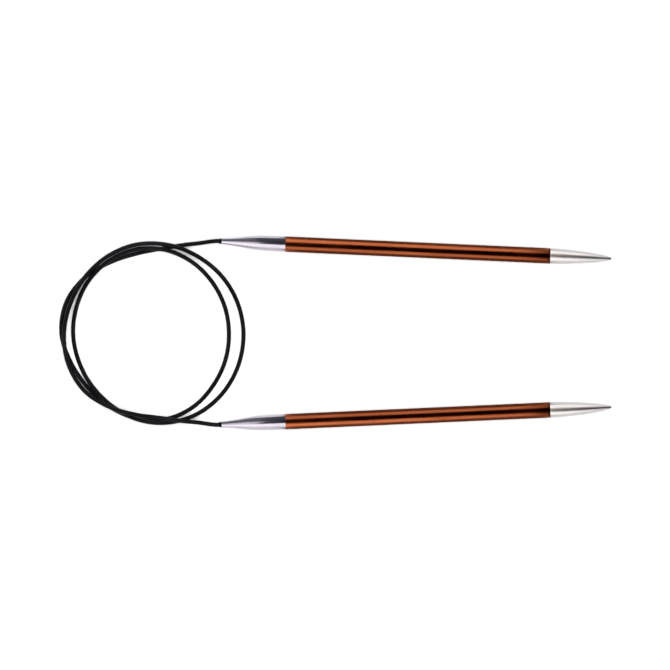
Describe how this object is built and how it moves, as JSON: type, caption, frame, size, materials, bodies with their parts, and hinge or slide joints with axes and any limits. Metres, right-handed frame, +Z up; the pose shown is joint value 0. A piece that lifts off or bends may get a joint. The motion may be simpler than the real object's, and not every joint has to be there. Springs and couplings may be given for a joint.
{
  "type": "circular knitting needle",
  "caption": "Circular knitting needle for knitting in the round: tapered metal needles with plated points, joined end to end by a thin flexible cable that lies in a loose coil.",
  "frame": {"origin": "under the middle of the two needles, on the table that they lie on", "axes": "+X along the needles towards their points, +Y towards the left needle, +Z up"},
  "size_m": [0.1977, 0.0696, 0.0055],
  "materials": {
    "plated_metal": "satin nickel plate",
    "anodised_shank": "drawn aluminium tube, anodised copper brown, glossy",
    "crimp_brass": "bare brass",
    "collar_plastic": "black, moulded",
    "cable_plastic": "black nylon, semi-gloss"
  },
  "bodies": {
    "cable": {"cable": "cable_plastic"},
    "left_cable_end": {"left_cable_tail": "cable_plastic"},
    "left_needle": {"left_point": "plated_metal", "left_shank": "anodised_shank", "left_ferrule": "plated_metal", "left_crimp_sleeve": "crimp_brass", "left_collar": "collar_plastic", "left_cable_anchor": "cable_plastic"},
    "right_cable_end": {"right_cable_tail": "cable_plastic"},
    "right_needle": {"right_point": "plated_metal", "right_shank": "anodised_shank", "right_ferrule": "plated_metal", "right_crimp_sleeve": "crimp_brass", "right_collar": "collar_plastic", "right_cable_anchor": "cable_plastic"}
  },
  "joints": [
    {"name": "left_swing", "type": "hinge", "parent": "cable", "child": "left_cable_end", "pos_m": [-0.07816, 0.032, 0.0019], "axis": [0, 0, 1], "range_deg": [-9, 45], "stiffness_Nm_per_rad": 0.03},
    {"name": "left_lift", "type": "hinge", "parent": "left_cable_end", "child": "left_needle", "pos_m": [-0.07126, 0.03289, 0.00275], "axis": [-0.0447, -0.999, 0], "range_deg": [0, 45], "stiffness_Nm_per_rad": 0.03},
    {"name": "right_swing", "type": "hinge", "parent": "cable", "child": "right_cable_end", "pos_m": [-0.07816, -0.032, 0.0032], "axis": [0, 0, -1], "range_deg": [-9, 45], "stiffness_Nm_per_rad": 0.03},
    {"name": "right_lift", "type": "hinge", "parent": "right_cable_end", "child": "right_needle", "pos_m": [-0.07126, -0.03289, 0.00275], "axis": [0.0447, -0.999, 0], "range_deg": [0, 45], "stiffness_Nm_per_rad": 0.03}
  ]
}
